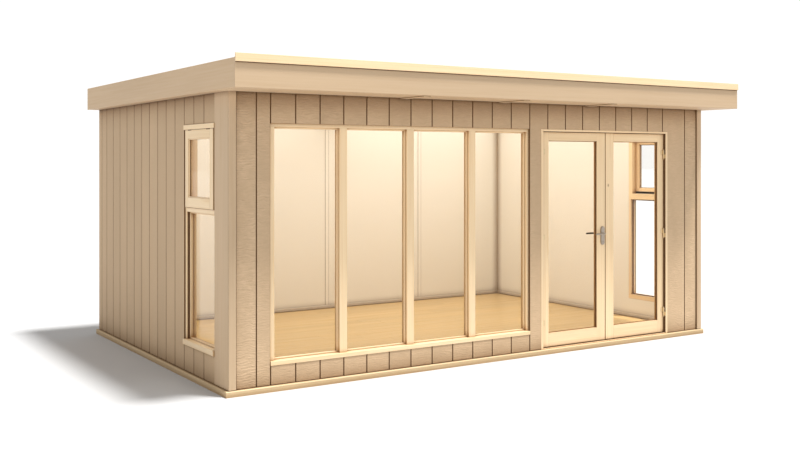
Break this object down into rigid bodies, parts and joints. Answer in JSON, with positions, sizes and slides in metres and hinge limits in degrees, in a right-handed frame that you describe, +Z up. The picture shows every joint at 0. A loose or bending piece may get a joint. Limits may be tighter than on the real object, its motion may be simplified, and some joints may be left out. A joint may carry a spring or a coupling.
{
  "type": "garden office pod",
  "caption": "Flat-roofed timber garden room with boarded walls, a wide front window, outward-opening glazed double doors and tall two-part end windows.",
  "frame": {"origin": "on the ground, under the centre of the whole building's box, roof overhangs included", "axes": "+X along the front to the viewer's right, -Y out of the front with the doors, +Z up"},
  "size_m": [5.121, 3.544, 2.402],
  "materials": {
    "cladding": "matte stained board with fine ripple grain",
    "pine": "clear satin varnish on pale pine",
    "floor": "satin honey-coloured boards",
    "lining": "matte cream paint",
    "membrane": "matte roofing sheet",
    "glass": "clear",
    "steel": "satin"
  },
  "bodies": {
    "pod": {"base_plate": "pine", "floor_boards": "floor", "back_wall": "cladding", "front_wall_piers": "cladding", "front_wall_header": "cladding", "front_wall_under_window": "cladding", "left_wall": "cladding", "left_wall_pier": "cladding", "left_wall_window_panels": "cladding", "right_wall": "cladding", "right_wall_pier": "cladding", "right_wall_window_panels": "cladding", "front_corner_trims": "cladding", "roof_panel": "lining", "roof_membrane": "membrane", "front_fascia": "cladding", "back_fascia": "cladding", "left_fascia": "cladding", "right_fascia": "cladding", "front_roof_strip": "pine", "soffit_battens": "cladding", "front_window_sill": "pine", "front_window_head": "pine", "front_window_posts": "pine", "front_window_glass": "glass", "left_window_frame": "pine", "left_window_boards": "pine", "left_window_sash": "pine", "left_window_glass": "glass", "right_window_frame": "pine", "right_window_boards": "pine", "right_window_sash": "pine", "right_window_glass": "glass", "door_jambs": "pine", "door_head": "pine", "door_threshold": "pine", "frame_hinges": "steel"},
    "left_door": {"left_door_leaf": "pine", "left_door_glass": "glass", "left_door_hinges": "steel", "left_door_plates": "steel"},
    "left_lever": {"left_door_levers": "steel"},
    "right_door": {"right_door_leaf": "pine", "right_door_glass": "glass", "right_door_hinges": "steel"}
  },
  "joints": [
    {"name": "left_door_hinge", "type": "hinge", "parent": "pod", "child": "left_door", "pos_m": [0.4705, -1.386, 1], "axis": [0, 0, -1], "range_deg": [0, 110]},
    {"name": "right_door_hinge", "type": "hinge", "parent": "pod", "child": "right_door", "pos_m": [1.9695, -1.386, 1], "axis": [0, 0, 1], "range_deg": [0, 110]},
    {"name": "lever_turn", "type": "hinge", "parent": "left_door", "child": "left_lever", "pos_m": [1.1835, -1.358, 1.016], "axis": [0, -1, 0], "range_deg": [0, 40], "stiffness_Nm_per_rad": 1.5, "springref_deg": -17.19}
  ]
}
